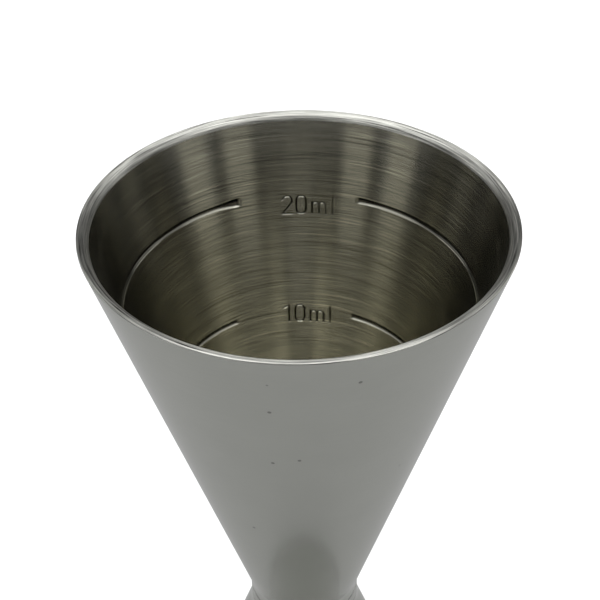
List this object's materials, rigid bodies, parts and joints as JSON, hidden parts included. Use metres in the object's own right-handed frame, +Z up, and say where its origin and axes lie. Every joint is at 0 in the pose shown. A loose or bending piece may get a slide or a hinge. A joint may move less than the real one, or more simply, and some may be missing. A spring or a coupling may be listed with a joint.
{
  "type": "bar jigger",
  "caption": "Double-ended conical bar jigger in brushed steel: a small engraved measure welded at the waist to a larger one.",
  "frame": {"origin": "on the table, at the middle of the lower cup's rim", "axes": "+Z up along the common axis of both cups, towards the small cup's mouth; the capacity marks are on the +Y side and face -Y"},
  "size_m": [0.0502, 0.0502, 0.1142],
  "materials": {
    "cup_steel": "satin, brushed round the axis",
    "weld_steel": "ground flush and brushed round the axis"
  },
  "bodies": {
    "root": {"upper_cup": "cup_steel", "lower_cup": "cup_steel", "waist_weld": "weld_steel"}
  },
  "joints": []
}
